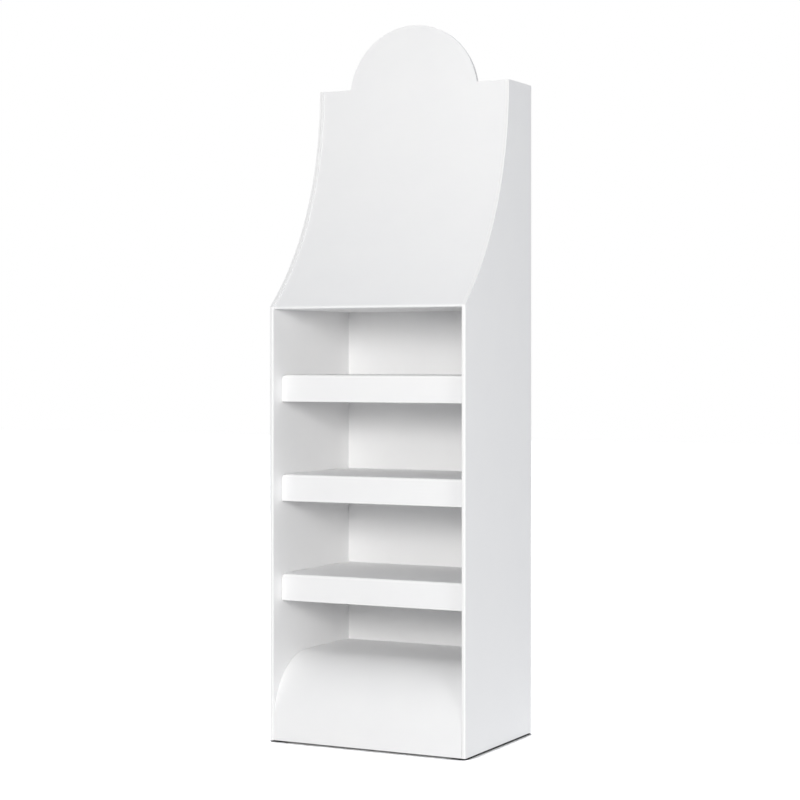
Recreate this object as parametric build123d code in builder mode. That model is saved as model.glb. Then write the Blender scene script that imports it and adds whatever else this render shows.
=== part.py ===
# Free-standing display stand folded from white corrugated board. One wrap makes the back and two doubled
# side walls. A curved header with a half-round crest, three tray shelves and a rounded base sit between
# the walls, held by tongues in slots of the inner plies.
# Millimetres, +Z up, +X to the right as seen from the front, +Y to the back. The origin lies on the
# floor under the middle of the footprint.
import os
from math import asin, degrees

from build123d import *

os.makedirs("parts", exist_ok=True)

# Board, folds and fits
board = 4.0  # thickness of the corrugated board
ply_gap = 0.4  # slit between two boards folded onto each other
fold_inside = 0.6  # inside radius of a fold
hem_radius = 2.4  # outside radius of each crease where a board turns back on itself
fit_gap = 0.4  # clearance round a piece that slides in between the side walls
seam = 1.0  # gap between flaps that meet at a corner
overshoot = 1.0  # how far a cut runs past the face it opens

# Wrap
width = 450.0  # across the outsides of the side walls
depth = 332.0  # front edge to the outside of the back panel
body_height = 1374.0  # floor to the top of the side walls
opening_height = 901.0  # floor to the end of the straight front edge
top_depth = 119.0  # front to back at the top of the side walls
tuck_height = 45.0  # flange of the top flap, turned down behind the header

# Header
header_recess = 2.0  # header face behind the curved edges of the side walls
header_lip = 5.0  # upright strip between the two creases at the header's lower edge
crest_radius = 152.0  # half-round crest above the header
crest_drop = 23.0  # centre of the crest below the header's top edge
backer_reach = 60.0  # how far the crest's second board goes down behind the header face
ceiling_flange = 60.0  # flange that fixes the header's ceiling to the back panel
header_tab_length = 50.0  # along the curve
header_tab_count = 3  # on each side

# Shelves
shelf_names = ("shelf_lower", "shelf_middle", "shelf_upper")
lowest_deck = 344.0  # floor to the deck of the lowest shelf
top_bay_height = 137.0  # deck of the highest shelf to the ceiling
fascia_recess = 32.0  # fascia behind the front edge of the side walls
fascia_height = 56.0
fascia_return = 30.0  # flap that turns back at each end of the fascia
fascia_corner_width = 15.0  # eased upper corners of the fascia
fascia_corner_drop = 6.0
side_flange_height = 48.0
rear_flange_height = 40.0
flange_bevel = 8.0  # cut corners at the free edge of a side flange

# Base
base_height = 173.0  # floor to the bottom deck
base_radius = 135.0  # quarter round between the front and the deck
base_recess = 2.0  # base front behind the front edge of the side walls

# Tongues of the shelves and the base
shelf_tongue_length = 60.0
shelf_tongue_inset = 50.0  # from the front and back of a shelf to its tongues
base_tongue_inset = 20.0  # from the front and back of the flat of the bottom deck to its tongues
base_tongue_gap = 30.0  # between the two tongues on one side of the bottom deck

# Places that follow from the sizes above
front = -depth / 2
back = depth / 2
back_inside = back - board
wall = 2 * board + ply_gap
wall_inside = width / 2 - wall
insert_half = wall_inside - fit_gap
fold_outside = board + fold_inside
tongue_reach = fit_gap + board

# The curved front edge is one arc, upright where it meets the top of the side walls
curve_run = depth - top_depth
curve_rise = body_height - opening_height
curve_radius = (curve_run**2 + curve_rise**2) / (2 * curve_run)
curve_center = (front + curve_run - curve_radius, body_height)

header_face_radius = curve_radius + header_recess
header_back_radius = header_face_radius + board
header_face = front + curve_run + header_recess
header_tab_angle = degrees(header_tab_length / header_back_radius)
ceiling_under = opening_height - board
flap_front = header_face + 2 * board + fit_gap

shelf_pitch = (ceiling_under - top_bay_height - lowest_deck) / (len(shelf_names) - 1)
shelf_decks = [lowest_deck + i * shelf_pitch for i in range(len(shelf_names))]
shelf_front = front + fascia_recess
shelf_back = back_inside - fit_gap
hem_back = shelf_front + wall
base_front_face = front + base_recess
base_flat_front = base_front_face + base_radius
base_tongue_length = (shelf_back - base_flat_front - 2 * base_tongue_inset - base_tongue_gap) / 2


def drop_angle(radius, height):
    # Angle below the top of the curve at which an arc of this radius comes down to a height
    return degrees(asin((body_height - height) / radius))


def tongue_centers(flat_front, flat_back, inset, length):
    # Front-to-back places of the two tongues on one side of a deck
    margin = inset + length / 2
    return (flat_front + margin, flat_back - margin)


def curved_band(near_radius, far_radius, low_angle, high_angle):
    # Section of a board bent about the axis of the header's curve
    with BuildSketch(Plane.YZ) as band:
        with BuildLine():
            near = CenterArc(curve_center, near_radius, low_angle, high_angle - low_angle)
            far = CenterArc(curve_center, far_radius, low_angle, high_angle - low_angle)
            Line(near @ 0, far @ 0)
            Line(near @ 1, far @ 1)
        make_face()
    return band.sketch


def fold_waste(plane, outer, top):
    # Corner that the outside radius of a fold takes off, beside the highest and outermost point of a section
    with BuildSketch(plane) as waste:
        with Locations((outer, top)):
            Rectangle(fold_outside, fold_outside, align=(Align.MAX, Align.MAX))
        with Locations((outer - fold_outside, top - fold_outside)):
            Circle(fold_outside, mode=Mode.SUBTRACT)
    return waste.sketch


def crest_outline(face):
    # Half-round crest, standing on the header's top edge in the upright plane at this depth
    with BuildSketch(Plane.XZ.offset(-face)) as crest:
        with Locations((0, body_height - crest_drop)):
            Circle(crest_radius)
        with Locations((0, body_height)):
            Rectangle(2 * crest_radius, crest_radius, align=(Align.CENTER, Align.MIN), mode=Mode.INTERSECT)
    return crest.sketch


shelf_tongues = tongue_centers(shelf_front, shelf_back, shelf_tongue_inset, shelf_tongue_length)
base_tongues = tongue_centers(base_flat_front, shelf_back, base_tongue_inset, base_tongue_length)
tongue_places = [(y, deck, shelf_tongue_length) for deck in shelf_decks for y in shelf_tongues]
tongue_places += [(y, base_height, base_tongue_length) for y in base_tongues]
curve_sweep = drop_angle(header_face_radius, opening_height)
header_tab_middles = [-curve_sweep * (i + 0.5) / header_tab_count for i in range(header_tab_count)]

# Wrap: the right wall with its slit and slots, mirrored, then the back panel and the top flap
with BuildPart() as body_wrap:
    with BuildSketch(Plane.YZ.offset(wall_inside)):
        with BuildLine():
            sweep = drop_angle(curve_radius, opening_height)
            curve = CenterArc(curve_center, curve_radius, -sweep, sweep)
            Polyline(curve @ 1, (back, body_height), (back, 0), (front, 0), curve @ 0)
        make_face()
    extrude(amount=wall)
    fillet(body_wrap.edges().filter_by(Axis.Z).group_by(Axis.Y)[0], hem_radius)

    # Slit between the plies, closed only by the fold along the straight front edge
    with BuildSketch(Plane.YZ.offset(wall_inside + board)):
        with BuildLine():
            Polyline(
                (front + board, -overshoot),
                (front + board, opening_height),
                (front - overshoot, opening_height),
                (front - overshoot, body_height + overshoot),
                (back_inside, body_height + overshoot),
                (back_inside, -overshoot),
                close=True,
            )
        make_face()
    extrude(amount=ply_gap, mode=Mode.SUBTRACT)

    # The inner ply stops short of the back panel
    with BuildSketch(Plane.XY):
        with Locations((wall_inside, back_inside)):
            Rectangle(board, ply_gap, align=(Align.MIN, Align.MAX))
    extrude(amount=body_height, mode=Mode.SUBTRACT)

    # Slots of the inner ply: a tongue rests on the lower edge of its slot
    with BuildSketch(Plane.YZ.offset(wall_inside)):
        for y, deck, length in tongue_places:
            with Locations((y, deck - board)):
                Rectangle(length + 2 * fit_gap, board + fit_gap, align=(Align.CENTER, Align.MIN))
    extrude(amount=board, mode=Mode.SUBTRACT)
    for middle in header_tab_middles:
        half_slot = header_tab_angle / 2 + degrees(fit_gap / header_face_radius)
        slot = curved_band(
            header_face_radius - fit_gap, header_back_radius + fit_gap, middle - half_slot, middle + half_slot
        )
        extrude(slot, amount=wall_inside + board, mode=Mode.SUBTRACT)
    mirror(about=Plane.YZ)

    with BuildSketch(Plane.XZ.offset(-back)):
        Rectangle(width, body_height, align=(Align.CENTER, Align.MIN))
    extrude(amount=board)
    with BuildSketch(Plane.YZ):
        with BuildLine():
            FilletPolyline(
                (back_inside, body_height),
                (flap_front, body_height),
                (flap_front, body_height - tuck_height),
                radius=fold_outside,
            )
            offset(amount=board, side=Side.LEFT)
        make_face()
    extrude(amount=insert_half, both=True)
    fillet(body_wrap.edges().filter_by(Axis.Z).group_by(Axis.Y)[-1], fold_outside)
    extrude(fold_waste(Plane.YZ, back, body_height), amount=insert_half, both=True, mode=Mode.SUBTRACT)
body_wrap.part.label = "body_wrap"
export_step(body_wrap.part, "parts/body_wrap.step")

# Header: one sheet with the curved face, the crest above it and the ceiling folded back below it
with BuildPart() as header:
    with BuildSketch(Plane.YZ) as header_section:
        with BuildLine():
            face_sweep = drop_angle(header_face_radius, ceiling_under + header_lip)
            back_sweep = drop_angle(header_back_radius, opening_height)
            face_arc = CenterArc(curve_center, header_face_radius, -face_sweep, face_sweep)
            back_arc = CenterArc(curve_center, header_back_radius, -back_sweep, back_sweep)
            Line(face_arc @ 1, back_arc @ 1)
            Polyline(
                face_arc @ 0,
                ((face_arc @ 0).X, ceiling_under),
                (back_inside, ceiling_under),
                (back_inside, ceiling_under + ceiling_flange),
                (back_inside - board, ceiling_under + ceiling_flange),
                (back_inside - board, opening_height),
                back_arc @ 0,
            )
        make_face()
        fillet(header_section.vertices().group_by(Axis.X)[0], hem_radius)
        fillet(header_section.vertices().group_by(Axis.Y)[0].sort_by(Axis.X)[-1], fold_outside)
    extrude(amount=insert_half, both=True)
    extrude(crest_outline(header_face), amount=-board)
    for middle in header_tab_middles:
        half_tab = header_tab_angle / 2
        tab = curved_band(header_face_radius, header_back_radius, middle - half_tab, middle + half_tab)
        extrude(tab, amount=insert_half + tongue_reach, both=True)
header.part.label = "header"
export_step(header.part, "parts/header.step")

# Second board of the crest, glued behind the header face
with BuildPart() as header_backer:
    reach_angle = degrees(backer_reach / header_back_radius)
    band = curved_band(header_back_radius, header_back_radius + board, -reach_angle, 0)
    extrude(band, amount=insert_half, both=True)
    extrude(crest_outline(header_face + board), amount=-board)
header_backer.part.label = "header_backer"
export_step(header_backer.part, "parts/header_backer.step")

# Shelves: the right half of each folded tray, mirrored
for name, deck in zip(shelf_names, shelf_decks):
    under = deck - board
    fascia_under = deck - fascia_height
    hem_top = under - seam
    with BuildPart() as shelf:
        # Rear flange, deck, fascia and the hem that turns up behind the fascia
        with BuildSketch(Plane.YZ) as section:
            with BuildLine():
                Polyline(
                    (shelf_back, deck - rear_flange_height),
                    (shelf_back, deck),
                    (shelf_front, deck),
                    (shelf_front, fascia_under),
                    (hem_back, fascia_under),
                    (hem_back, hem_top),
                    (hem_back - board, hem_top),
                    (hem_back - board, fascia_under + board),
                    (shelf_front + board, fascia_under + board),
                    (shelf_front + board, under),
                    (shelf_back - board, under),
                    (shelf_back - board, deck - rear_flange_height),
                    close=True,
                )
            make_face()
            fillet(section.vertices().group_by(Axis.Y)[-1], fold_outside)
            fillet(section.vertices().group_by(Axis.Y)[0], hem_radius)
        extrude(amount=insert_half)

        # The hem stops short of the flap that turns back round the end of the fascia
        with BuildSketch(Plane.XY.offset(fascia_under)):
            with Locations((insert_half, shelf_front + board)):
                Rectangle(board + seam, wall, align=(Align.MAX, Align.MIN))
        extrude(amount=under - fascia_under, mode=Mode.SUBTRACT)
        with BuildSketch(Plane.XY.offset(fascia_under)):
            with Locations((insert_half, shelf_front)):
                Rectangle(board, fascia_return, align=(Align.MAX, Align.MIN))
        extrude(amount=fascia_height - fascia_corner_drop)
        extrude(fold_waste(Plane.bottom, insert_half, -shelf_front), amount=-deck, mode=Mode.SUBTRACT)

        # Side flange, kept clear of the returned flap and the rear flange by the corner seams
        flange_front = shelf_front + fascia_return + seam
        flange_back = shelf_back - board - seam
        with BuildSketch(Plane.YZ.offset(insert_half)) as flange:
            with Locations((flange_front, under)):
                Rectangle(flange_back - flange_front, side_flange_height - board, align=(Align.MIN, Align.MAX))
            chamfer(flange.vertices().group_by(Axis.Y)[0], flange_bevel)
        extrude(amount=-board)
        crease = fold_waste(Plane.XZ.offset(-flange_front), insert_half, deck)
        extrude(crease, amount=flange_front - flange_back, mode=Mode.SUBTRACT)

        # Tongues in the plane of the deck, cut out of the side flange below them
        with BuildSketch(Plane.XY.offset(under)):
            for y in shelf_tongues:
                with Locations((insert_half - fold_outside, y)):
                    Rectangle(fold_outside + tongue_reach, shelf_tongue_length, align=(Align.MIN, Align.CENTER))
        extrude(amount=board)
        with BuildSketch(Plane.YZ.offset(insert_half)):
            for y in shelf_tongues:
                with Locations((y, under)):
                    Rectangle(shelf_tongue_length, tongue_reach, align=(Align.CENTER, Align.MAX))
        extrude(amount=-board, mode=Mode.SUBTRACT)

        # Eased upper corner of the fascia
        with BuildSketch(Plane.XZ.offset(-shelf_front)):
            with Locations((insert_half, deck)):
                Rectangle(fascia_corner_width, fascia_corner_drop, align=(Align.MAX, Align.MAX))
            with Locations((insert_half - fascia_corner_width, deck - fascia_corner_drop)):
                Ellipse(fascia_corner_width, fascia_corner_drop, mode=Mode.SUBTRACT)
        extrude(amount=-wall, mode=Mode.SUBTRACT)
        mirror(about=Plane.YZ)
    shelf.part.label = name
    export_step(shelf.part, f"parts/{name}.step")

# Base: front, quarter round, bottom deck and rear flange in one sheet that stands on the floor
with BuildPart() as base_front:
    with BuildSketch(Plane.YZ):
        with BuildLine():
            FilletPolyline(
                (base_front_face, 0),
                (base_front_face, base_height),
                (shelf_back, base_height),
                (shelf_back, 0),
                radius=[base_radius, fold_outside],
            )
            offset(amount=board, side=Side.RIGHT)
        make_face()
    extrude(amount=insert_half, both=True)
    with BuildSketch(Plane.XY.offset(base_height - board)):
        for y in base_tongues:
            with Locations((0, y)):
                Rectangle(2 * (insert_half + tongue_reach), base_tongue_length)
    extrude(amount=board)
base_front.part.label = "base_front"
export_step(base_front.part, "parts/base_front.step")
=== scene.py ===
import math

import bpy
import numpy as np
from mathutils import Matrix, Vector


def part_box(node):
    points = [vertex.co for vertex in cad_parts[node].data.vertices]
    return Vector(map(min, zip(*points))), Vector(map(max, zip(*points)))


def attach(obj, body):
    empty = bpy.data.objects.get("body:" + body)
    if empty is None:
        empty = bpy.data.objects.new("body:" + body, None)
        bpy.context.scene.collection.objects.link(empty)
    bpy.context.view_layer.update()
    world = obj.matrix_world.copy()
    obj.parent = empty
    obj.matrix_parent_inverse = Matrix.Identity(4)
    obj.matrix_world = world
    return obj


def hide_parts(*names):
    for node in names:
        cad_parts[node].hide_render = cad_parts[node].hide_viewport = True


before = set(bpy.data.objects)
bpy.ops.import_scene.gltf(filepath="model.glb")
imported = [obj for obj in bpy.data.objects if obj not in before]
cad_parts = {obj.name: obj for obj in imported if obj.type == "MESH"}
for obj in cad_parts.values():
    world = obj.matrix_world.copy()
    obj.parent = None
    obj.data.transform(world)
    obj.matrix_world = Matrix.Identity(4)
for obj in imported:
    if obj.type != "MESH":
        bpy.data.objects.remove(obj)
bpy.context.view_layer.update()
mm = 0.001
tiny = 1e-6  # mm, slack when two places are compared
print("frame:", len(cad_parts), "nodes")

# The corrugated board that every piece is folded from, in mm
board = {
    "thickness": 4.0,
    "plyGap": 0.4,  # slit between two boards folded onto each other
    "foldRadius": 4.6,  # outside of a plain fold
    "hemRadius": 2.4,  # outside of each crease where a board turns back on itself
    "fitGap": 0.4,  # play of a tongue in its slot
    "seam": 1.0,  # gap between flaps that meet at a corner
    "creaseFade": 2.0,  # how far a crease's whitening and painted highlight reach onto the flat beside it
    "creaseLimit": 10.0,  # a turn with a larger radius is a bend, not a crease
    "flatShare": 0.45,  # of a flat, the most that a crease at one end may take
    "foldSteps": 8,
    "flutePitch": 7.5,  # C flute
    "sharpAngle": 32.0,  # degrees, a steeper turn between faces is shaded as an edge
    "joinDigits": 4,  # decimals to which points are compared when patches are joined
    "lineDigits": 6,  # the same for grid lines
}
thick = board["thickness"]
foldRadius = board["foldRadius"]
hemRadius = board["hemRadius"]
fitGap = board["fitGap"]
wall = 2 * thick + board["plyGap"]


def nodeBox(node):
    low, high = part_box(node)
    return np.array(low) / mm, np.array(high) / mm


# Places that the frame gives
wrapLow, wrapHigh = nodeBox("body_wrap")
headerLow, headerHigh = nodeBox("header")
backerHigh = nodeBox("header_backer")[1]
baseLow, baseHigh = nodeBox("base_front")
halfWidth = wrapHigh[0]
front, back, height = wrapLow[1], wrapHigh[1], wrapHigh[2]
backInside = back - thick
wallInside = halfWidth - wall
insertHalf = wallInside - fitGap
tongueReach = fitGap + thick
shelfPieces = {"shelf_lower": "shelfLower", "shelf_middle": "shelfMiddle", "shelf_upper": "shelfUpper"}


def foldLine(corners, radii, inward, steps=board["foldSteps"]):
    # End view of a folded board. The outer line runs straight from corner to corner and turns each one
    # on an arc of its radius. The inner line lies one thickness to the inward side: on the same centre
    # where the radius is larger than the thickness, on one point where it is not. Also gives the length
    # run along the outer line, and 1 on each crease, where the coating is whitened and a highlight is
    # painted along the fold.
    corner = np.asarray(corners, float)
    radius = np.asarray(radii, float)
    step = np.diff(corner, axis=0)
    length = np.linalg.norm(step, axis=1)
    step /= length[:, None]
    into = np.vstack([step[:1], step])
    out = np.vstack([step, step[-1:]])
    sideIn = inward * np.stack([-into[:, 1], into[:, 0]], 1)
    sideOut = inward * np.stack([-out[:, 1], out[:, 0]], 1)
    turn = np.arctan2(into[:, 0] * out[:, 1] - into[:, 1] * out[:, 0], (into * out).sum(1))
    mitre = (sideIn + sideOut) / (1 + (sideIn * sideOut).sum(1))[:, None]
    tangent = radius * np.tan(np.abs(turn) / 2)
    center = corner + mitre * radius[:, None]

    angle = turn[:, None] * np.linspace(0, 1, steps)
    cosine, sine = np.cos(angle), np.sin(angle)
    outward = -np.stack(
        [
            sideIn[:, :1] * cosine - sideIn[:, 1:] * sine,
            sideIn[:, :1] * sine + sideIn[:, 1:] * cosine,
        ],
        2,
    )
    outerArc = center[:, None] + radius[:, None, None] * outward
    innerArc = center[:, None] + (radius - thick)[:, None, None] * outward
    tight = radius < thick
    innerArc[tight] = (corner + mitre * thick)[tight][:, None]

    # A line on the flat each side of a crease keeps its shading narrow, and also its whitening with its
    # painted highlight
    free = board["flatShare"] * (length - tangent[:-1] - tangent[1:])
    isCrease = (radius > 0) & (radius < board["creaseLimit"])
    fade = np.where(isCrease, board["creaseFade"], 0.0)
    before = np.minimum(fade, np.append(0.0, free))
    after = np.minimum(fade, np.append(free, 0.0))
    start = corner - into * (tangent + before)[:, None]
    end = corner + out * (tangent + after)[:, None]
    startInner = np.where((before > 0)[:, None], start + sideIn * thick, innerArc[:, 0])
    endInner = np.where((after > 0)[:, None], end + sideOut * thick, innerArc[:, -1])
    outer = np.concatenate([start[:, None], outerArc, end[:, None]], 1)
    inner = np.concatenate([startInner[:, None], innerArc, endInner[:, None]], 1)
    crease = np.zeros(outer.shape[:2])
    crease[:, 1:-1] = isCrease[:, None]

    outer, inner, crease = outer.reshape(-1, 2), inner.reshape(-1, 2), crease.ravel()
    moved = np.abs(np.diff(np.hstack([outer, inner]), axis=0)).max(1) > tiny
    keep = np.append(True, moved)
    outer, inner, crease = outer[keep], inner[keep], crease[keep]
    run = np.append(0.0, np.cumsum(np.linalg.norm(np.diff(outer, axis=0), axis=1)))
    return outer, inner, run, crease


def sheetPatch(outer, inner, across, along, crease, present=None):
    # One sheet as a grid of cells on two faces, with the distances across and along its flutes
    rows, columns = outer.shape[:2]
    if present is None:
        present = np.ones((rows - 1, columns - 1), bool)
    shape = (rows, columns)
    return {
        "outer": outer,
        "inner": inner,
        "across": np.broadcast_to(across, shape),
        "along": np.broadcast_to(along, shape),
        "crease": np.broadcast_to(crease, shape),
        "present": present,
    }


def prism(line, inner, xLines):
    # A section in the YZ plane carried along X: a row for each point of it, a column for each X line
    def carry(points):
        grid = np.empty((len(points), len(xLines), 3))
        grid[..., 0] = xLines
        grid[..., 1:] = points[:, None]
        return grid

    return carry(line), carry(inner)


def patchFaces(patch, offset):
    # Cells that are present get a quad on each face, and each border between a present and an absent cell
    # gets a quad across the thickness: the cut edge of the board
    outer, inner, here = patch["outer"], patch["inner"], patch["present"]
    rows, columns = outer.shape[:2]
    top = np.arange(rows * columns).reshape(rows, columns) + offset
    low = top + rows * columns
    i, j = np.nonzero(here)
    faces = np.stack([top[i, j], top[i + 1, j], top[i + 1, j + 1], top[i, j + 1]], 1)
    backs = np.stack([low[i, j], low[i, j + 1], low[i + 1, j + 1], low[i + 1, j]], 1)

    ring = np.pad(here, 1)
    edges = []
    i, j = np.nonzero(ring[1:, 1:-1] & ~ring[:-1, 1:-1])
    edges.append(np.stack([top[i, j], top[i, j + 1], low[i, j + 1], low[i, j]], 1))
    i, j = np.nonzero(ring[:-1, 1:-1] & ~ring[1:, 1:-1])
    edges.append(np.stack([top[i, j + 1], top[i, j], low[i, j], low[i, j + 1]], 1))
    i, j = np.nonzero(ring[1:-1, 1:] & ~ring[1:-1, :-1])
    edges.append(np.stack([top[i + 1, j], top[i, j], low[i, j], low[i + 1, j]], 1))
    i, j = np.nonzero(ring[1:-1, :-1] & ~ring[1:-1, 1:])
    edges.append(np.stack([top[i, j], top[i + 1, j], low[i + 1, j], low[i, j]], 1))
    edges = np.concatenate(edges)

    # The outer face looks away from the inner one, whichever way the grid runs
    normal = np.cross(outer[1:, :-1] - outer[:-1, :-1], outer[:-1, 1:] - outer[:-1, :-1])
    facing = (normal * (outer - inner)[:-1, :-1]).sum(2)[here].sum()
    quads = np.concatenate([faces, backs, edges])
    isEdge = np.arange(len(quads)) >= len(faces) + len(backs)
    return (quads if facing > 0 else quads[:, ::-1]), isEdge


def boardPiece(name, node, patches):
    # Joins the patches of one folded sheet: points that coincide become one, and two cut edges that lie
    # on each other are both left out, so flaps grow out of their panel without a wall between
    points, quads, isEdge, sheetUv, depth, crease = [], [], [], [], [], []
    offset = 0
    for patch in patches:
        found, edge = patchFaces(patch, offset)
        count = patch["across"].size
        offset += 2 * count
        quads.append(found)
        isEdge.append(edge)
        points += [patch["outer"].reshape(-1, 3), patch["inner"].reshape(-1, 3)]
        sheetUv += [np.stack([patch["across"].ravel(), patch["along"].ravel()], 1)] * 2
        depth += [np.zeros(count), np.full(count, thick)]
        crease += [patch["crease"].ravel()] * 2
    points, quads, isEdge = np.concatenate(points), np.concatenate(quads), np.concatenate(isEdge)
    sheetUv, depth, crease = np.concatenate(sheetUv), np.concatenate(depth), np.concatenate(crease)

    uv = sheetUv[quads]
    uv[isEdge, :, 1] = depth[quads[isEdge]]  # on a cut edge the second coordinate goes through the board
    near = np.round(points, board["joinDigits"])
    _, first, same = np.unique(near, axis=0, return_index=True, return_inverse=True)
    quads = same.reshape(-1)[quads]
    ordered = np.sort(quads, axis=1)
    _, kind, copies = np.unique(ordered, axis=0, return_inverse=True, return_counts=True)
    single = copies[kind.reshape(-1)] == 1
    corners = quads != np.roll(quads, 1, axis=1)
    solid = single & (corners.sum(1) >= 3)
    quads, uv, isEdge, corners = quads[solid], uv[solid], isEdge[solid], corners[solid]
    loops, loopUv = quads[corners], uv[corners]
    used, loops = np.unique(loops, return_inverse=True)
    sizes = corners.sum(1)

    mesh = bpy.data.meshes.new(name)
    mesh.vertices.add(len(used))
    mesh.vertices.foreach_set("co", (points[first][used] * mm).ravel())
    mesh.loops.add(len(loops))
    mesh.loops.foreach_set("vertex_index", loops.reshape(-1).astype(np.int32))
    mesh.polygons.add(len(sizes))
    mesh.polygons.foreach_set("loop_start", np.append(0, np.cumsum(sizes)[:-1]).astype(np.int32))
    mesh.polygons.foreach_set("material_index", isEdge.astype(np.int32))
    mesh.polygons.foreach_set("use_smooth", np.ones(len(sizes), bool))
    mesh.uv_layers.new(name="sheet").data.foreach_set("uv", (loopUv * mm).ravel())
    mesh.attributes.new("crease", "FLOAT", "POINT").data.foreach_set("value", crease[first][used])
    mesh.update(calc_edges=True)
    mesh.validate()
    mesh.set_sharp_from_angle(angle=math.radians(board["sharpAngle"]))
    piece = bpy.data.objects.new(name, mesh)
    bpy.context.scene.collection.objects.link(piece)
    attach(piece, "root")
    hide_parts(node)
    print("piece:", name, len(mesh.polygons), "faces")
    return piece


def lines(*values):
    # Sorted grid lines without repeats
    joined = np.concatenate([np.atleast_1d(v) for v in values])
    return np.unique(np.round(joined, board["lineDigits"]))


# Header: concave face, half-round crest, and past a double crease the ceiling of the top bay
header = {
    "recess": 2.0,  # face behind the curved edges of the side walls
    "lip": 5.0,  # upright strip between the two creases at the lower edge
    "crestRadius": 152.0,
    "flange": 60.0,  # ceiling flange on the back panel
    "tabLength": 50.0,
    "tabCount": 3,
    "creaseShow": 0.3,  # how much of the crease whitening and painted highlight the two lower creases get, next to those of the shelves
    "noseMargin": 1.0,  # above the lip, where the inside of the nose begins
    "arcRows": 64,
    "crestRows": 40,
    "crestColumns": 33,
    "shoulderColumns": 5,
}

# The concave front edge of the side walls is one arc, upright at the top, through the end of the
# straight edge. The face lies behind it on the same centre
opening = headerLow[2] + thick
headerFace = backerHigh[1] - 2 * thick
curveRun = headerFace - header["recess"] - front
curveRise = height - opening
curveRadius = (curveRun**2 + curveRise**2) / (2 * curveRun)
curveY = front + curveRun - curveRadius
faceRadius = curveRadius + header["recess"]
faceBackRadius = faceRadius + thick
tabSpread = header["tabLength"] / faceBackRadius
tabSweep = math.asin(curveRise / faceRadius)
tabMiddles = tabSweep * (np.arange(header["tabCount"]) + 0.5) / header["tabCount"]
tabEnds = np.concatenate([tabMiddles - tabSpread / 2, tabMiddles + tabSpread / 2])


def onCurve(radius, angle):
    # Point below the top of the curve by this angle, on a circle about the curve's centre
    return np.stack([curveY + radius * np.cos(angle), height - radius * np.sin(angle)], -1)


def insideAny(middle, ends):
    # True where a cell's middle lies between one of the pairs of ends
    low, high = np.sort(np.asarray(ends, float).reshape(2, -1), axis=0)
    return ((middle[:, None] > low) & (middle[:, None] < high)).any(1)


# Tray shelf: hemmed fascia, deck and flanges
shelf = {
    "fasciaReturn": 30.0,  # turned end of the fascia along the side wall
    "cornerWidth": 15.0,  # eased upper corners of the fascia
    "cornerDrop": 6.0,
    "sideFlange": 48.0,
    "rearFlange": 40.0,
    "bevel": 8.0,
    "tongueLength": 60.0,
    "tongueInset": 50.0,
    "cornerColumns": 9,
    "columns": 17,
}

# Base: upright front that bends back into the bottom deck
base = {
    "radius": 135.0,  # quarter round between the front and the bottom deck
    "tongueInset": 20.0,
    "tongueGap": 30.0,
    "bendSteps": 48,
    "columns": 17,
}
shelfBoxes = [nodeBox(node) for node in shelfPieces]
shelfFront, shelfBack = shelfBoxes[0][0][1], shelfBoxes[0][1][1]
shelfDecks = [high[2] for _, high in shelfBoxes]
baseDeck = baseHigh[2]
baseFlat = baseLow[1] + base["radius"]
baseTongue = (shelfBack - baseFlat - 2 * base["tongueInset"] - base["tongueGap"]) / 2


def tongueEnds(flatFront, inset, length):
    # Front and rear ends of the two tongues on one side of a deck
    starts = np.array([flatFront + inset, shelfBack - inset - length])
    return np.stack([starts, starts + length])


shelfTongues = tongueEnds(shelfFront, shelf["tongueInset"], shelf["tongueLength"])
baseTongues = tongueEnds(baseFlat, base["tongueInset"], baseTongue)

# Wrap: one sheet for the back, both doubled side walls and the top flap
wrap = {
    "tuck": 45.0,  # flange of the top flap
    "slotDepth": (header["recess"] - fitGap, header["recess"] + thick + fitGap),
    "hemLine": 20.0,  # behind the hem, a grid line that keeps its shading narrow
    "kinkMargin": 20.0,  # the same below the kink of the front edge
    "curveColumns": 56,
    "backColumns": 13,
}


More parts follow.
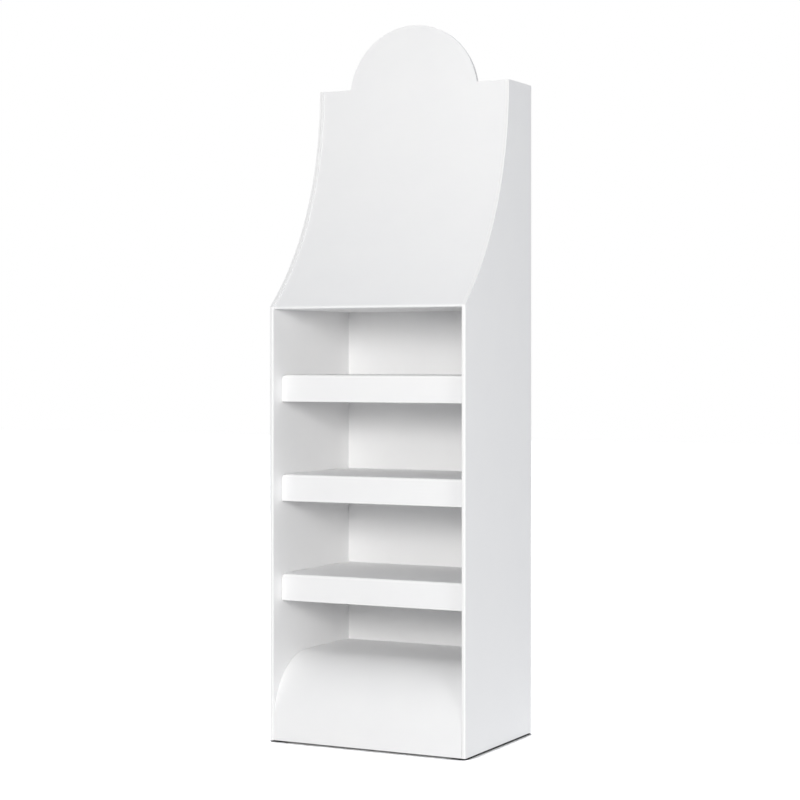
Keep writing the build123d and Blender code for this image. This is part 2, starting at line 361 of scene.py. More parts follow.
def makeWrap():
    # The plan of the walls and the back carried up the height. Above the opening each ply is squeezed back
    # between its rear end and the curve, in circles about the curve's centre near the edge
    hemStart = front + hemRadius
    clear = np.array([[-fitGap], [fitGap]])
    slotEnds = [shelfTongues + clear] * len(shelfDecks) + [baseTongues + clear]
    slotDecks = shelfDecks + [baseDeck]
    inward = lines(
        slotEnds[0].ravel(),
        slotEnds[-1].ravel(),
        hemStart + np.array(wrap["slotDepth"]),
        front + wall + wrap["hemLine"],
    )
    plyBack = backInside - board["plyGap"]
    backLines = np.linspace(insertHalf, -insertHalf, wrap["backColumns"])
    forwards = [(wallInside, y) for y in inward[::-1]]
    outwards = [(halfWidth, y) for y in inward]
    half = [(wallInside, plyBack)] + forwards + [(wallInside, front), (halfWidth, front)] + outwards
    half.append((halfWidth, back))
    mirrored = [(-x, y) for x, y in half[::-1]]
    plan = half + [(x, back) for x in backLines] + mirrored
    turns = {front: hemRadius, back: foldRadius}
    radii = [turns.get(y, 0.0) if abs(x) > insertHalf + tiny else 0.0 for x, y in plan]
    outer, inner, run, crease = foldLine(plan, radii, 1)

    # Columns: level lines up to the kink of the front edge, then lines that meet the curve at even angles
    slotLines = [(deck - thick, deck + fitGap) for deck in slotDecks]
    kinkAngle = math.acos((hemStart - curveY) / curveRadius)
    levels = lines(0.0, np.ravel(slotLines), opening - wrap["kinkMargin"])
    slack = fitGap / faceRadius
    headerSlots = np.concatenate([tabMiddles - tabSpread / 2 - slack, tabMiddles + tabSpread / 2 + slack])
    edgeDepth = wrap["slotDepth"][1]
    flapAngle = math.asin(foldRadius / (curveRadius + edgeDepth))
    angles = lines(np.linspace(0, kinkAngle, wrap["curveColumns"]), headerSlots, flapAngle)[::-1]

    x, y = outer.T
    isOutside = np.abs(x) > wallInside + thick / 2
    plyX = np.where(isOutside, halfWidth, wallInside)
    inPly = (y > hemStart - tiny) & (y < back - foldRadius + tiny) & (np.abs(np.abs(x) - plyX) < tiny)
    isInner = inPly & ~isOutside
    rear = np.where(isInner, plyBack, back - foldRadius)
    depth = np.where(inPly, y - hemStart, edgeDepth)
    near = inPly & (depth < edgeDepth + tiny)
    radius = curveRadius + np.where(near, depth, edgeDepth)
    upperZ = height - radius[:, None] * np.sin(angles)
    edgeY = curveY + (curveRadius + edgeDepth) * np.cos(angles)
    share = (rear - y) / (rear - hemStart - edgeDepth)
    farY = rear[:, None] - share[:, None] * (rear[:, None] - edgeY)
    upperY = np.where(near[:, None], curveY + radius[:, None] * np.cos(angles), farY)
    upperY = np.where(inPly[:, None], upperY, y[:, None])
    inHem = y < hemStart + tiny

    columns = len(levels) + len(angles)
    outerGrid = np.empty((len(x), columns, 3))
    innerGrid = np.empty_like(outerGrid)
    for grid, line in ((outerGrid, outer), (innerGrid, inner)):
        grid[..., 0] = line[:, :1]
        grid[:, : len(levels), 1] = line[:, 1:]
        grid[:, : len(levels), 2] = levels
        grid[:, len(levels) :, 1] = np.where(inPly[:, None], upperY, line[:, 1:])
        grid[:, len(levels) :, 2] = upperZ
        hemY = line[inHem, 1]  # the hem ends on the curve as well
        grid[inHem, len(levels), 1] = hemY
        grid[inHem, len(levels), 2] = height - np.sqrt(curveRadius**2 - (hemY - curveY) ** 2)

    # Flutes stand upright, so the distance across them follows the plan, also where the plies narrow
    across = np.repeat(run[:, None], columns, 1)
    heading = np.where(isInner == (x > 0), -1.0, 1.0)
    across[inPly] += heading[inPly, None] * (outerGrid[inPly, :, 1] - y[inPly, None])

    present = np.ones((len(x) - 1, columns - 1), bool)
    hemCell = inHem[:-1] & inHem[1:]
    present[np.ix_(hemCell, np.arange(columns - 1) >= len(levels))] = False
    middleY = (y[:-1] + y[1:]) / 2
    innerCell = isInner[:-1] & isInner[1:]
    levelMiddle = np.append((levels[:-1] + levels[1:]) / 2, np.full(columns - len(levels), np.inf))
    for ends, (low, high) in zip(slotEnds, slotLines):
        slotRow = innerCell & insideAny(middleY, ends)
        present[np.ix_(slotRow, (levelMiddle > low) & (levelMiddle < high))] = False
    depthMiddle = (depth[:-1] + depth[1:]) / 2
    slotRow = innerCell & (depthMiddle > wrap["slotDepth"][0]) & (depthMiddle < wrap["slotDepth"][1])
    angleMiddle = np.append(np.full(len(levels), -1.0), (angles[:-1] + angles[1:]) / 2)
    present[np.ix_(slotRow, insideAny(angleMiddle, headerSlots))] = False
    flapRow = (np.abs(x) < insertHalf + tiny) & (y > back - tiny)
    present[flapRow[:-1] & flapRow[1:], -1] = False
    panel = sheetPatch(outerGrid, innerGrid, across, outerGrid[..., 2], crease[:, None], present)

    # Top flap, folded forward from the back panel and tucked down behind the header
    flapFront = headerFace + wall
    stem = [(back, height - foldRadius), (back, height)]
    stem += [(flapFront, height), (flapFront, height - wrap["tuck"])]
    line, lineInner, flapRun, flapWhiteAndHighlight = foldLine(stem, [0, foldRadius, foldRadius, 0], 1)
    line3, lineInner3 = prism(line, lineInner, x[flapRow])
    flap = sheetPatch(line3, lineInner3, run[flapRow], flapRun[:, None] + height, flapWhiteAndHighlight[:, None])
    return boardPiece("bodyWrap", "body_wrap", [panel, flap])


def crestRows(face):
    # Half-round crest: height and half width of rows at even angles about its centre, from the top down
    count = header["crestRows"]
    top = headerHigh[2]
    center = top - header["crestRadius"]
    foot = math.asin((height - center) / header["crestRadius"])
    angle = np.linspace(math.pi / 2, foot, count)
    z = center + header["crestRadius"] * np.sin(angle)
    return np.stack([np.full(count, face), z], 1), header["crestRadius"] * np.cos(angle)


def crestedGrid(outer, inner, halfWidths, tabReach=()):
    # The section carried along X, with the crest's rows narrowed to its half width. The columns are closer
    # together towards the crest's rim
    foot = halfWidths[-1]
    share = np.sin(np.linspace(-math.pi / 2, math.pi / 2, header["crestColumns"]))
    shoulder = np.linspace(foot, insertHalf, header["shoulderColumns"])[1:]
    half = np.append(shoulder, tabReach)
    xLines = np.concatenate([-half[::-1], foot * share, half])
    crestColumn = np.abs(xLines) < foot + tiny
    outerGrid, innerGrid = prism(outer, inner, xLines)
    rows = len(halfWidths)
    narrowed = halfWidths[:, None] * share
    outerGrid[:rows][:, crestColumn, 0] = narrowed
    innerGrid[:rows][:, crestColumn, 0] = narrowed
    present = np.ones((len(outer) - 1, len(xLines) - 1), bool)
    crestCell = crestColumn[:-1] & crestColumn[1:]
    present[: rows - 1] = crestCell
    return outerGrid, innerGrid, present


def makeHeader():
    # Crest, concave arc, lip, ceiling and rear flange: a section carried along X, with tabs beside the arc
    crest, halfWidths = crestRows(headerFace)
    ceilingUnder = headerLow[2]
    faceSweep = math.asin((height - ceilingUnder - header["lip"]) / faceRadius)
    angles = lines(np.linspace(0, faceSweep, header["arcRows"]), tabEnds)
    face = onCurve(faceRadius, angles[1:])
    lipY = face[-1, 0]
    rear = [
        (lipY, ceilingUnder),
        (backInside, ceilingUnder),
        (backInside, ceilingUnder + header["flange"]),
    ]
    section = np.vstack([crest, face, rear])
    radii = np.zeros(len(section))
    radii[-4:-2] = hemRadius
    radii[-2] = foldRadius
    outer, inner, run, crease = foldLine(section, radii, 1)
    noseTop = ceilingUnder + header["lip"] + header["noseMargin"]
    noseBack = lipY + 2 * thick
    nose = (outer[:, 1] < noseTop) & (outer[:, 0] < noseBack) & (inner[:, 0] < noseBack)
    corner = onCurve(faceBackRadius, math.asin(curveRise / faceBackRadius))
    inner[nose] = corner  # inside the nose both creases share one corner

    # Tabs on both sides of the curved face
    outerGrid, innerGrid, present = crestedGrid(outer, inner, halfWidths, insertHalf + tongueReach)
    drop = np.arctan2(height - outer[:, 1], outer[:, 0] - curveY)
    row = np.arange(len(outer) - 1)
    onFace = (row >= len(crest) - 1) & (row < len(crest) + len(face) - 2)
    tabRow = onFace & insideAny((drop[:-1] + drop[1:]) / 2, tabEnds)
    present[:, [0, -1]] = tabRow[:, None]
    # Crease whitening with its painted highlight, weaker on the header's two lower creases
    white = header["creaseShow"] * crease[:, None]
    sheet = sheetPatch(outerGrid, innerGrid, run[:, None], outerGrid[..., 0], white, present)
    return boardPiece("headerSheet", "header", [sheet])


# Second board of the crest, glued to the back of the header
backer = {
    "reach": 60.0,  # along the arc, below the crest
    "tailRows": 12,
}


def makeBacker():
    # Crest and the start of the arc, one thickness behind the header: its outer face looks back
    crest, halfWidths = crestRows(backerHigh[1])
    reach = backer["reach"] / faceBackRadius
    tail = onCurve(faceBackRadius + thick, np.linspace(0, reach, backer["tailRows"])[1:])
    section = np.vstack([crest, tail])
    outer, inner, run, crease = foldLine(section, np.zeros(len(section)), -1)
    outerGrid, innerGrid, present = crestedGrid(outer, inner, halfWidths)
    sheet = sheetPatch(outerGrid, innerGrid, run[:, None], outerGrid[..., 0], crease[:, None], present)
    return boardPiece("crestBacker", "header_backer", [sheet])


def makeShelf(node, low, high):
    # Hem, fascia, deck and rear flange: a section carried along X. The fascia's turned ends, the side
    # flanges and the tongues are further grids that start on its lines
    deck, fasciaUnder = high[2], low[2]
    hemBack = shelfFront + wall
    hemTop = deck - thick - board["seam"]
    flangeFront = shelfFront + shelf["fasciaReturn"] + board["seam"]
    flangeBack = shelfBack - thick - board["seam"]
    easeEnd = shelfFront + 2 * wall
    deckLines = lines(shelfTongues.ravel(), flangeFront, flangeBack, easeEnd)
    plan = [(hemBack, hemTop), (hemBack, fasciaUnder), (shelfFront, fasciaUnder), (shelfFront, deck)]
    plan += [(y, deck) for y in deckLines] + [(shelfBack, deck), (shelfBack, deck - shelf["rearFlange"])]
    radii = np.zeros(len(plan))
    radii[1:3] = hemRadius
    radii[[3, -2]] = foldRadius
    outer, inner, run, crease = foldLine(plan, radii, -1)

    foldX = insertHalf - foldRadius
    hemEnd = insertHalf - thick - board["seam"]
    quarter = np.linspace(0, math.pi / 2, shelf["cornerColumns"])
    eased = insertHalf - shelf["cornerWidth"] * (1 - np.sin(quarter))
    half = lines(eased, foldX, hemEnd)
    between = np.linspace(-half[0], half[0], shelf["columns"])[1:-1]
    xLines = np.concatenate([-half[::-1], between, half])
    outerGrid, innerGrid = prism(outer, inner, xLines)
    y, z = outer.T

    # Seen from above, the top fold ends on the same quarter round as the fascia's turned ends
    ahead = 1 - np.clip((y - shelfFront) / foldRadius, 0, 1)
    past = np.maximum(np.abs(xLines) - foldX, 0) * (1 - np.sqrt(1 - ahead[:, None] ** 2))
    outerGrid[..., 0] -= np.sign(xLines) * past
    innerGrid[..., 0] -= np.sign(xLines) * past

    # Cells left out: past the hem's ends, and where the turned ends and the side flanges take over
    middleX = np.abs(xLines[:-1] + xLines[1:]) / 2
    cell = np.arange(len(y) - 1)
    fasciaRow = np.abs(y - shelfFront) < tiny
    fasciaAt = np.flatnonzero(fasciaRow)
    hemCell = (y[:-1] > shelfFront + hemRadius - tiny) & (cell < fasciaAt[0] - 1)
    deckRow = (z > deck - tiny) & (y > flangeFront - tiny) & (y < flangeBack + tiny)
    present = np.ones((len(y) - 1, len(xLines) - 1), bool)
    present[np.ix_(hemCell, middleX > hemEnd)] = False
    present[np.ix_(cell < fasciaAt[-1], middleX > foldX)] = False
    present[np.ix_(deckRow[:-1] & deckRow[1:], middleX > foldX)] = False
    tray = sheetPatch(outerGrid, innerGrid, run[:, None], xLines, crease[:, None], present)
    patches = [tray]

    # Each flap starts on the grid line where its panel stops
    returnEnd = shelfFront + shelf["fasciaReturn"]
    returnPlan = [(foldX, shelfFront), (insertHalf, shelfFront), (insertHalf, returnEnd)]
    returnLine, returnInner, returnRun, returnWhiteAndHighlight = foldLine(returnPlan, [0, foldRadius, 0], 1)
    returnZ = np.append(fasciaUnder, z[fasciaRow])
    returnAcross = np.append(run[fasciaRow][0] - (z[fasciaRow][0] - fasciaUnder), run[fasciaRow])
    notchZ = deck - thick - tongueReach
    flangeLow = deck - shelf["sideFlange"]
    flangeLevels = (deck, notchZ, flangeLow + shelf["bevel"], flangeLow)
    flangePlan = [(foldX, deck)] + [(insertHalf, level) for level in flangeLevels]
    flangeLine, flangeInner, flangeRun, flangeWhiteAndHighlight = foldLine(flangePlan, [0, foldRadius, 0, 0, 0], -1)
    flangeY, flangeAcross = y[deckRow], run[deckRow]
    flangeMiddle = (flangeY[:-1] + flangeY[1:]) / 2
    flangeThere = np.ones((len(flangeY) - 1, len(flangeLine) - 1), bool)
    notchAt = np.flatnonzero(np.abs(flangeLine[:, 1] - notchZ) < tiny)[0]
    notched = np.arange(len(flangeLine) - 1) < notchAt
    flangeThere[np.ix_(insideAny(flangeMiddle, shelfTongues), notched)] = False
    for side in (-1, 1):
        turned = [np.empty((len(returnZ), len(returnLine), 3)) for _ in range(2)]
        for grid, line in zip(turned, (returnLine, returnInner)):
            grid[..., 0] = side * line[:, 0]
            grid[..., 1] = line[:, 1]
            grid[..., 2] = returnZ[:, None]
        along = side * (foldX + returnRun)
        patches.append(sheetPatch(*turned, returnAcross[:, None], along, returnWhiteAndHighlight[None]))
        hanging = [np.empty((len(flangeY), len(flangeLine), 3)) for _ in range(2)]
        for grid, line in zip(hanging, (flangeLine, flangeInner)):
            cut = np.maximum(0, shelf["bevel"] - (line[:, 1] - flangeLow))
            grid[..., 0] = side * line[:, 0]
            grid[..., 1] = np.clip(flangeY[:, None], flangeFront + cut, flangeBack - cut)
            grid[..., 2] = line[:, 1]
        along = side * (foldX + flangeRun)
        flange = sheetPatch(*hanging, flangeAcross[:, None], along, flangeWhiteAndHighlight[None], flangeThere)
        patches.append(flange)
        for start, end in shelfTongues.T:
            row = deckRow & (y > start - tiny) & (y < end + tiny)
            reach = side * np.array([foldX, insertHalf + tongueReach])
            tongueOuter, tongueInner = prism(outer[row], inner[row], reach)
            patches.append(sheetPatch(tongueOuter, tongueInner, run[row][:, None], reach, 0.0))

    # Eased upper corners: near its ends the front of the tray drops on a quarter ellipse, most at the top
    for patch in patches:
        for grid in (patch["outer"], patch["inner"]):
            over = np.clip((np.abs(grid[..., 0]) - insertHalf) / shelf["cornerWidth"] + 1, 0, 1)
            drop = shelf["cornerDrop"] * (1 - np.sqrt(1 - over**2))
            rise = np.clip((grid[..., 2] - fasciaUnder) / (deck - fasciaUnder), 0, 1)
            behind = np.clip((easeEnd - grid[..., 1]) / wall, 0, 1)
            grid[..., 2] -= drop * rise * behind
    return boardPiece(shelfPieces[node], node, patches)


def makeBase():
    # Front, quarter round, bottom deck and rear flange: a section carried along X, with tongues beside
    # the deck
    frontFace = baseLow[1]
    deckLines = lines(baseTongues.ravel())
    plan = [(frontFace, 0.0), (frontFace, baseDeck)] + [(y, baseDeck) for y in deckLines]
    plan += [(shelfBack, baseDeck), (shelfBack, 0.0)]
    radii = np.zeros(len(plan))
    radii[1] = base["radius"]
    radii[-2] = foldRadius
    outer, inner, run, crease = foldLine(plan, radii, -1, base["bendSteps"])
    reach = insertHalf + tongueReach
    between = np.linspace(-insertHalf, insertHalf, base["columns"])
    xLines = np.concatenate([[-reach], between, [reach]])
    outerGrid, innerGrid = prism(outer, inner, xLines)
    y, z = outer.T
    present = np.ones((len(y) - 1, len(xLines) - 1), bool)
    onDeck = (z[:-1] > baseDeck - tiny) & (z[1:] > baseDeck - tiny)
    tongueRow = onDeck & insideAny((y[:-1] + y[1:]) / 2, baseTongues)
    present[:, [0, -1]] = tongueRow[:, None]
    sheet = sheetPatch(outerGrid, innerGrid, run[:, None], xLines, crease[:, None], present)
    return boardPiece("baseSheet", "base_front", [sheet])


pieces = [makeWrap(), makeHeader(), makeBacker(), makeBase()]
pieces += [makeShelf(node, low, high) for node, (low, high) in zip(shelfPieces, shelfBoxes)]
print("pieces:", len(pieces))


def hexColor(code):
    # sRGB hex value to linear red, green, blue and 1
    srgb = np.array([int(code[k : k + 2], 16) for k in (1, 3, 5)]) / 255
    linear = np.where(srgb <= 0.04045, srgb / 12.92, ((srgb + 0.055) / 1.055) ** 2.4)
    return (*linear.tolist(), 1.0)


def addNode(tree, kind, settings, inputs):
    # Adds a node, sets its options, and links or sets its inputs
    node = tree.nodes.new(kind)
    for name, value in settings.items():
        setattr(node, name, value)
    for socket, value in inputs.items():
        if isinstance(value, bpy.types.NodeSocket):
            tree.links.new(value, node.inputs[socket])
        else:
            node.inputs[socket].default_value = value
    return node


def newMaterial(name):
    material = bpy.data.materials.new(name)
    material.use_nodes = True
    material.node_tree.nodes.clear()
    return material, material.node_tree


def fluteWave(tree):
    # The flutes' wave, which is the sine of the distance across them, and the sheet's second coordinate
    sheet = addNode(tree, "ShaderNodeUVMap", {"uv_map": "sheet"}, {})
    split = addNode(tree, "ShaderNodeSeparateXYZ", {}, {0: sheet.outputs[0]})
    perMetre = 2 * math.pi / (board["flutePitch"] * mm)
    phase = addNode(tree, "ShaderNodeMath", {"operation": "MULTIPLY"}, {0: split.outputs[0], 1: perMetre})
    wave = addNode(tree, "ShaderNodeMath", {"operation": "SINE"}, {0: phase.outputs[0]})
    return wave.outputs[0], split.outputs[1]


# White clay-coated liner over flutes: a smooth, nearly matt white with faint ribs along the flutes, a
# hardly visible cloudiness and whiter creases. The creases are partly the coating whitening where it
# is folded and partly a painted highlight along the folds
linerLook = {
    "white": "#FAFAFA",
    "shade": "#F6F6F7",
    # colour of the creases: coating whitened at the fold, and a painted highlight
    "crease": "#FDFDFD",
    "roughness": (0.46, 0.58),
    "ior": 1.5,
    "specular": 0.3,
    "mottle": 70.0,  # mm, cloudiness of the coating
    "mottleDetail": 3.0,
    "grain": 0.9,  # mm, paper fibre, drawn coarser than real so that it shows
    "grainDetail": 2.0,
    "ribHeight": 0.02,  # mm, the flutes showing through the liner
    "grainShare": 0.3,  # height of the fibre next to that of the ribs
}


def clayCoatedLiner():
    material, tree = newMaterial("clayCoatedLiner")
    rib, _ = fluteWave(tree)
    place = addNode(tree, "ShaderNodeTexCoord", {}, {})
    mottle = addNode(
        tree,
        "ShaderNodeTexNoise",
        {},
        {
            "Vector": place.outputs["Object"],
            "Scale": 1 / (linerLook["mottle"] * mm),
            "Detail": linerLook["mottleDetail"],
        },
    )
    grain = addNode(
        tree,
        "ShaderNodeTexNoise",
        {},
        {
            "Vector": place.outputs["Object"],
            "Scale": 1 / (linerLook["grain"] * mm),
            "Detail": linerLook["grainDetail"],
        },
    )
    # Crease mark: whitening of the coating and a painted highlight along the folds
    crease = addNode(tree, "ShaderNodeAttribute", {"attribute_name": "crease"}, {})
    tone = addNode(
        tree,
        "ShaderNodeMix",
        {"data_type": "RGBA"},
        {
            "Factor": mottle.outputs["Fac"],
            "A": hexColor(linerLook["white"]),
            "B": hexColor(linerLook["shade"]),
        },
    )
    color = addNode(
        tree,
        "ShaderNodeMix",
        {"data_type": "RGBA"},
        {
            "Factor": crease.outputs["Fac"],
            "A": tone.outputs["Result"],
            "B": hexColor(linerLook["crease"]),
        },
    )
    gloss = addNode(
        tree,
        "ShaderNodeMapRange",
        {},
        {
            "Value": grain.outputs["Fac"],
            "To Min": linerLook["roughness"][0],
            "To Max": linerLook["roughness"][1],
        },
    )
    relief = addNode(
        tree,
        "ShaderNodeMath",
        {"operation": "MULTIPLY_ADD"},
        {0: grain.outputs["Fac"], 1: linerLook["grainShare"], 2: rib},
    )
    bump = addNode(
        tree,
        "ShaderNodeBump",
        {},
        {"Height": relief.outputs[0], "Distance": linerLook["ribHeight"] * mm, "Strength": 1.0},
    )
    shader = addNode(
        tree,
        "ShaderNodeBsdfPrincipled",
        {},
        {
            "Base Color": color.outputs["Result"],
            "Roughness": gloss.outputs[0],
            "Normal": bump.outputs[0],
            "IOR": linerLook["ior"],
            "Specular IOR Level": linerLook["specular"],
        },
    )
    addNode(tree, "ShaderNodeOutputMaterial", {}, {"Surface": shader.outputs[0]})
    return material


# Die-cut edge of the board: two white liners with the wave of the flute between them, a little whiter than
# the faces: partly the board's white core, partly a painted highlight along the edge. The hollows of the
# flutes get painted shade: a cut across the flutes shows their open ends as grey painted shade, a cut
# along them shows hardly any
edgeLook = {
    # whiter than the liner's faces: the white core, and a painted highlight
    "paper": "#FEFEFE",
    # painted shade in the flute hollows, barely darker than the paper
    "hollowShade": "#FCFCFC",
    # painted shade inside the open ends of the flutes
    "openEndShade": "#B4B4B6",
    "across": (0.8, 1.0),  # how squarely a cut crosses the flutes before their open ends get the painted shade
    "liner": 0.4,  # mm, drawn thicker than real so that it shows
    "medium": 0.35,  # mm, the fluted paper, also drawn thicker
    "swing": 1.5,  # mm, half height of the wave
    "soft": 0.25,  # mm, width of the change from paper to hollow
    "relief": 0.2,  # mm, depth of the hollows
    "reliefStrength": 0.5,
    "roughness": 0.85,
    "ior": 1.5,
    "specular": 0.2,
}


def dieCutEdge(name, fluteAxis):
    # On a cut edge the second coordinate goes through the board. What is near the wave or a liner is
    # paper, the rest is hollow in painted shade
    material, tree = newMaterial(name)
    wave, through = fluteWave(tree)
    depth = addNode(tree, "ShaderNodeMath", {"operation": "SUBTRACT"}, {0: through, 1: thick * mm / 2})
    fromWave = addNode(
        tree,
        "ShaderNodeMath",
        {"operation": "MULTIPLY_ADD"},
        {0: wave, 1: -edgeLook["swing"] * mm, 2: depth.outputs[0]},
    )
    waveGap = addNode(tree, "ShaderNodeMath", {"operation": "ABSOLUTE"}, {0: fromWave.outputs[0]})
    linerGap = addNode(tree, "ShaderNodeMath", {"operation": "ABSOLUTE"}, {0: depth.outputs[0]})
    onMedium = addNode(
        tree,
        "ShaderNodeMapRange",
        {"interpolation_type": "SMOOTHSTEP"},
        {
            "Value": waveGap.outputs[0],
            "From Min": edgeLook["medium"] * mm / 2,
            "From Max": (edgeLook["medium"] / 2 + edgeLook["soft"]) * mm,
            "To Min": 1.0,
            "To Max": 0.0,
        },
    )
    onLiner = addNode(
        tree,
        "ShaderNodeMapRange",
        {"interpolation_type": "SMOOTHSTEP"},
        {
            "Value": linerGap.outputs[0],
            "From Min": (thick / 2 - edgeLook["liner"] - edgeLook["soft"]) * mm,
            "From Max": (thick / 2 - edgeLook["liner"]) * mm,
        },
    )
    paper = addNode(
        tree,
        "ShaderNodeMath",
        {"operation": "MAXIMUM"},
        {0: onMedium.outputs[0], 1: onLiner.outputs[0]},
    )
    surface = addNode(tree, "ShaderNodeNewGeometry", {}, {})
    facing = addNode(tree, "ShaderNodeSeparateXYZ", {}, {0: surface.outputs["True Normal"]})
    squareness = addNode(tree, "ShaderNodeMath", {"operation": "ABSOLUTE"}, {0: facing.outputs[fluteAxis]})
    openEndShadeShare = addNode(
        tree,
        "ShaderNodeMapRange",
        {"interpolation_type": "SMOOTHSTEP"},
        {
            "Value": squareness.outputs[0],
            "From Min": edgeLook["across"][0],
            "From Max": edgeLook["across"][1],
        },
    )
    # Painted shade of the hollows, grey where the flute ends are open
    hollowShade = addNode(
        tree,
        "ShaderNodeMix",
        {"data_type": "RGBA"},
        {
            "Factor": openEndShadeShare.outputs[0],
            "A": hexColor(edgeLook["hollowShade"]),
            "B": hexColor(edgeLook["openEndShade"]),
        },
    )
    color = addNode(
        tree,
        "ShaderNodeMix",
        {"data_type": "RGBA"},
        {"Factor": paper.outputs[0], "A": hollowShade.outputs["Result"], "B": hexColor(edgeLook["paper"])},
    )
    bump = addNode(
        tree,
        "ShaderNodeBump",
        {},
        {
            "Height": paper.outputs[0],
            "Distance": edgeLook["relief"] * mm,
            "Strength": edgeLook["reliefStrength"],
        },
    )
    shader = addNode(
        tree,
        "ShaderNodeBsdfPrincipled",
        {},
        {
            "Base Color": color.outputs["Result"],
            "Normal": bump.outputs[0],
            "Roughness": edgeLook["roughness"],
            "IOR": edgeLook["ior"],
            "Specular IOR Level": edgeLook["specular"],
        },
    )
    addNode(tree, "ShaderNodeOutputMaterial", {}, {"Surface": shader.outputs[0]})
    return material


linerMaterial = clayCoatedLiner()
levelEdge = dieCutEdge("dieCutEdgeLevelFlutes", "X")
uprightEdge = dieCutEdge("dieCutEdgeUprightFlutes", "Z")
for piece in pieces:
    piece.data.materials.append(linerMaterial)
    piece.data.materials.append(uprightEdge if piece.name == "bodyWrap" else levelEdge)
print("materials:", linerMaterial.name, levelEdge.name, uprightEdge.name)

# Studio: pale floor, a white surround that is brighter behind and above, a key lamp near the camera, a
# fill lamp for the right-hand faces, and lamps for the back and the top
studio = {
    "floorSize": 30.0,  # m
    "floorDrop": 0.0032,  # m, hairline gap under the stand
    "floorNear": "#EAEAEA",  # white sheet round the stand, which lights its lower part from below
    "floorFar": "#C8C8C8",
    "sheet": (0.3, 0.75),  # m, where the sheet ends
    "floorSeen": 2.4,  # in direct and reflected view: white, but dark at the contact shadow
    "contact": 0.045,  # m, reach of the contact shadow
    "contactSeen": 0.02,  # what is left of the white in it
    "contactRange": (0.5, 0.8),  # open share of the view up, from full contact shadow to none
    "contactSamples": 8,
    "backdrop": "#FFFFFF",
    "ambient": "#F7FAFF",
    "ambientStrength": 0.355,  # mean over all directions
    "ambientSlope": (0.03, 0.3, 0.22),  # more from behind and above, so that the lamps rule in the bays
    "lamps": {
        # watts, metres across, degrees to the right of the front, height and distance in metres
        "key": (114.0, 1.2, 20.0, 1.55, 4.6),
        "fill": (27.0, 1.4, 54.0, 1.42, 4.6),
        "rear": (130.0, 2.0, -130.0, 2.2, 6.0),
        "top": (42.0, 2.0, 180.0, 5.2, 4.4),
    },
    "lampColor": "#FFFEFC",
    "aim": 0.75,  # m, height that the lamps point at
}


def backgroundRays(tree):
    # 1 for the rays that show the background: those from the camera, and those reflected or let through
    path = addNode(tree, "ShaderNodeLightPath", {}, {})
    onward = addNode(
        tree,
        "ShaderNodeMath",
        {"operation": "MAXIMUM"},
        {0: path.outputs["Is Glossy Ray"], 1: path.outputs["Is Transmission Ray"]},
    )
    return addNode(
        tree,
        "ShaderNodeMath",
        {"operation": "MAXIMUM"},
        {0: path.outputs["Is Camera Ray"], 1: onward.outputs[0]},
    )


def makeFloor():
    # One level square. Its own colours light the stand, and in view it is white with a contact shadow
    half = studio["floorSize"] / 2
    mesh = bpy.data.meshes.new("floor")
    corners = [(-half, -half), (half, -half), (half, half), (-half, half)]
    mesh.from_pydata([(x, y, -studio["floorDrop"]) for x, y in corners], [], [(0, 1, 2, 3)])
    floor = bpy.data.objects.new("floor", mesh)
    bpy.context.scene.collection.objects.link(floor)
    material, tree = newMaterial("paleFloor")
    direct = backgroundRays(tree)
    covered = addNode(
        tree,
        "ShaderNodeAmbientOcclusion",
        {"samples": studio["contactSamples"]},
        {"Distance": studio["contact"]},
    )
    seen = addNode(
        tree,
        "ShaderNodeMapRange",
        {},
        {
            "Value": covered.outputs["AO"],
            "From Min": studio["contactRange"][0],
            "From Max": studio["contactRange"][1],
            "To Min": studio["contactSeen"],
            "To Max": studio["floorSeen"],
        },
    )
    place = addNode(tree, "ShaderNodeTexCoord", {}, {})
    away = addNode(tree, "ShaderNodeVectorMath", {"operation": "LENGTH"}, {0: place.outputs["Object"]})
    far = addNode(
        tree,
        "ShaderNodeMapRange",
        {"interpolation_type": "SMOOTHSTEP"},
        {
            "Value": away.outputs["Value"],
            "From Min": studio["sheet"][0],
            "From Max": studio["sheet"][1],
        },
    )
    plain = addNode(
        tree,
        "ShaderNodeMix",
        {"data_type": "RGBA"},
        {
            "Factor": far.outputs[0],
            "A": hexColor(studio["floorNear"]),
            "B": hexColor(studio["floorFar"]),
        },
    )
    color = addNode(
        tree,
        "ShaderNodeMix",
        {"data_type": "RGBA"},
        {"Factor": direct.outputs[0], "A": plain.outputs["Result"], "B": seen.outputs[0]},
    )
    shader = addNode(tree, "ShaderNodeBsdfDiffuse", {}, {"Color": color.outputs["Result"]})
    addNode(tree, "ShaderNodeOutputMaterial", {}, {"Surface": shader.outputs[0]})
    mesh.materials.append(material)


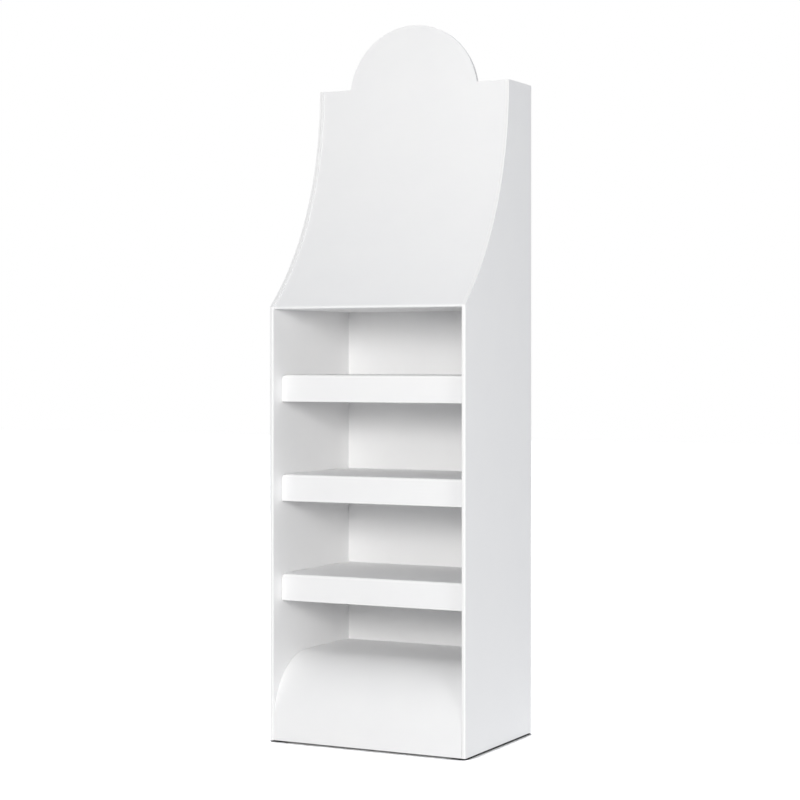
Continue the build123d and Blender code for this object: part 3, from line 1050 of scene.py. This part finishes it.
def makeLight():
    # The surround's level is its mean plus the slope along the direction. Each lamp is a disk that faces
    # the stand's middle line
    world = bpy.data.worlds.new("surround")
    bpy.context.scene.world = world
    world.use_nodes = True
    tree = world.node_tree
    tree.nodes.clear()
    direct = backgroundRays(tree)
    toward = addNode(tree, "ShaderNodeTexCoord", {}, {})
    slope = addNode(
        tree,
        "ShaderNodeVectorMath",
        {"operation": "DOT_PRODUCT"},
        {0: toward.outputs["Generated"], 1: studio["ambientSlope"]},
    )
    level = addNode(
        tree,
        "ShaderNodeMath",
        {"operation": "ADD"},
        {0: slope.outputs["Value"], 1: studio["ambientStrength"]},
    )
    lit = addNode(
        tree,
        "ShaderNodeBackground",
        {},
        {"Color": hexColor(studio["ambient"]), "Strength": level.outputs[0]},
    )
    white = addNode(
        tree,
        "ShaderNodeBackground",
        {},
        {"Color": hexColor(studio["backdrop"]), "Strength": 1.0},
    )
    mixed = addNode(
        tree,
        "ShaderNodeMixShader",
        {},
        {0: direct.outputs[0], 1: lit.outputs[0], 2: white.outputs[0]},
    )
    addNode(tree, "ShaderNodeOutputWorld", {}, {"Surface": mixed.outputs[0]})

    for name, (power, across, azimuth, rise, distance) in studio["lamps"].items():
        lamp = bpy.data.lights.new(name, "AREA")
        lamp.shape = "DISK"
        lamp.size = across
        lamp.energy = power
        lamp.color = hexColor(studio["lampColor"])[:3]
        source = bpy.data.objects.new(name, lamp)
        turn = math.radians(azimuth)
        source.location = (distance * math.sin(turn), -distance * math.cos(turn), rise)
        tilt = math.atan2(rise - studio["aim"], distance)
        source.rotation_euler = (math.pi / 2 - tilt, 0.0, turn)
        source.visible_camera = False
        bpy.context.scene.collection.objects.link(source)


makeFloor()
makeLight()
print("studio:", len(studio["lamps"]), "lamps")

# Camera: level, to the right of the front, as fitted to the stand's corners in the picture
view = {
    "azimuth": 27.17,  # degrees
    "focal": 2030.44,  # pixels
    "frame": 800,  # pixels
    "horizon": 362.0,  # pixel row that the level line of sight falls on
    "distance": 4273.74,  # mm along the line of sight to the origin
    "aside": -4.63,  # mm
    "height": 787.0,  # mm
    "sensor": 36.0,  # mm
    "clipEnd": 100.0,  # m
}


def makeCamera():
    lens = bpy.data.cameras.new("camera")
    lens.sensor_width = view["sensor"]
    lens.lens = view["focal"] / view["frame"] * view["sensor"]
    lens.shift_y = -(view["frame"] / 2 - view["horizon"]) / view["frame"]
    lens.clip_end = view["clipEnd"]
    azimuth = math.radians(view["azimuth"])
    ahead = np.array([-math.sin(azimuth), math.cos(azimuth), 0.0])
    right = np.array([math.cos(azimuth), math.sin(azimuth), 0.0])
    place = view["aside"] * right - view["distance"] * ahead + np.array([0.0, 0.0, view["height"]])
    camera = bpy.data.objects.new("camera", lens)
    camera.location = place * mm
    camera.rotation_euler = (math.pi / 2, 0.0, azimuth)
    bpy.context.scene.collection.objects.link(camera)
    bpy.context.scene.camera = camera


makeCamera()
bpy.context.scene.view_settings.view_transform = "Standard"
print("camera:", view["azimuth"], "degrees to the right of the front")
